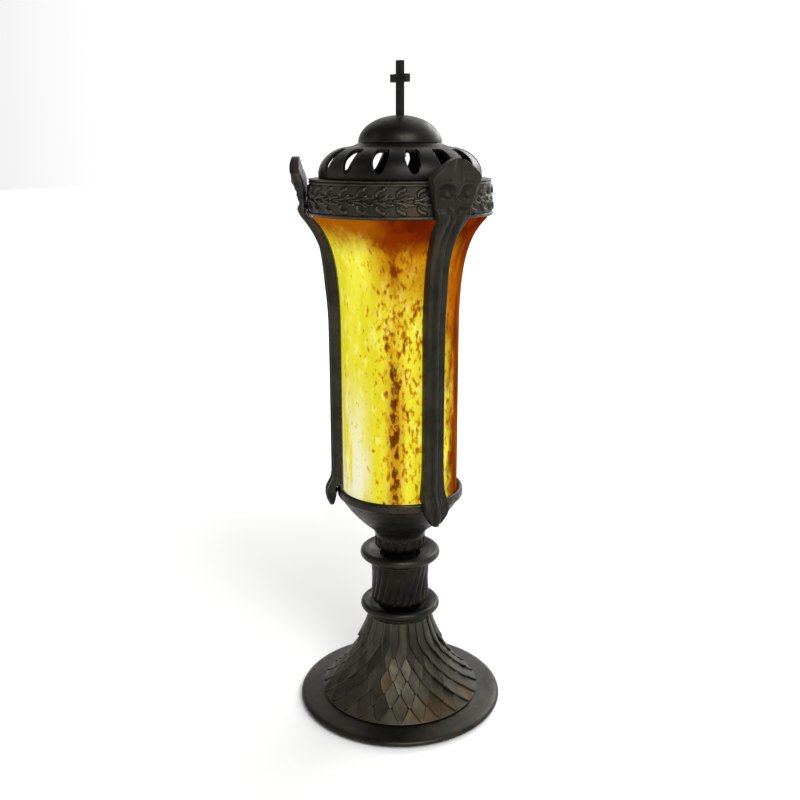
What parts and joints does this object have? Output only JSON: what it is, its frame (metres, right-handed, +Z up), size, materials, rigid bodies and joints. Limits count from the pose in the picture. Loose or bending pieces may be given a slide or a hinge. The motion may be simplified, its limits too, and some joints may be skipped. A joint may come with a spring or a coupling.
{
  "type": "sanctuary lamp",
  "caption": "Standing sanctuary lamp: scaled trumpet foot, fluted stem, flared amber glass shade held by leaf-topped ribs and a laurel band, pierced lid with a cross, and a candle inside.",
  "frame": {"origin": "centre of the underside of the felt pad, on the axis of the stem", "axes": "+Z up along the stem, front towards -Y"},
  "size_m": [0.131, 0.131, 0.4],
  "materials": {
    "cast_metal": "dark bronze patina, satin, brown where rubbed",
    "black_metal": "matt black",
    "steel": "zinc plated",
    "felt": "pressed felt",
    "gasket": "matt",
    "art_glass": "opalescent amber art glass, mottled yellow, cream, orange and brown, lit from inside",
    "candle_glass": "clear, glossy",
    "wax": "candle wax, satin",
    "wick": "braided cotton"
  },
  "bodies": {
    "lamp": {"base_plate": "cast_metal", "trumpet_foot": "cast_metal", "lower_collar": "cast_metal", "stem_drum": "cast_metal", "upper_collar": "cast_metal", "neck_cup": "cast_metal", "bowl": "cast_metal", "rib_1": "cast_metal", "rib_2": "cast_metal", "rib_3": "cast_metal", "top_band": "cast_metal", "tie_rod": "steel", "base_nut": "steel", "base_washer": "steel", "bowl_nut": "steel", "bowl_washer": "steel", "candle_plate": "steel", "band_screw_1": "steel", "band_screw_2": "steel", "band_screw_3": "steel", "foot_screw_1": "steel", "foot_screw_2": "steel", "foot_screw_3": "steel", "felt_pad": "felt", "lower_gasket": "gasket", "upper_gasket": "gasket", "glass_shade": "art_glass"},
    "lid": {"lid_dome": "cast_metal", "upper_cap": "cast_metal", "cross_finial": "black_metal", "cap_spacer": "steel", "finial_washer": "steel", "finial_nut": "steel"},
    "candle": {"candle_jar": "candle_glass", "candle_wax": "wax", "candle_wick": "wick"}
  },
  "joints": [
    {"name": "lid_lift", "type": "slide", "parent": "lamp", "child": "lid", "axis": [0, 0, 1], "range_m": [0, 0.08]},
    {"name": "candle_lift", "type": "slide", "parent": "lamp", "child": "candle", "axis": [0, 0, 1], "range_m": [0, 0.05]}
  ]
}
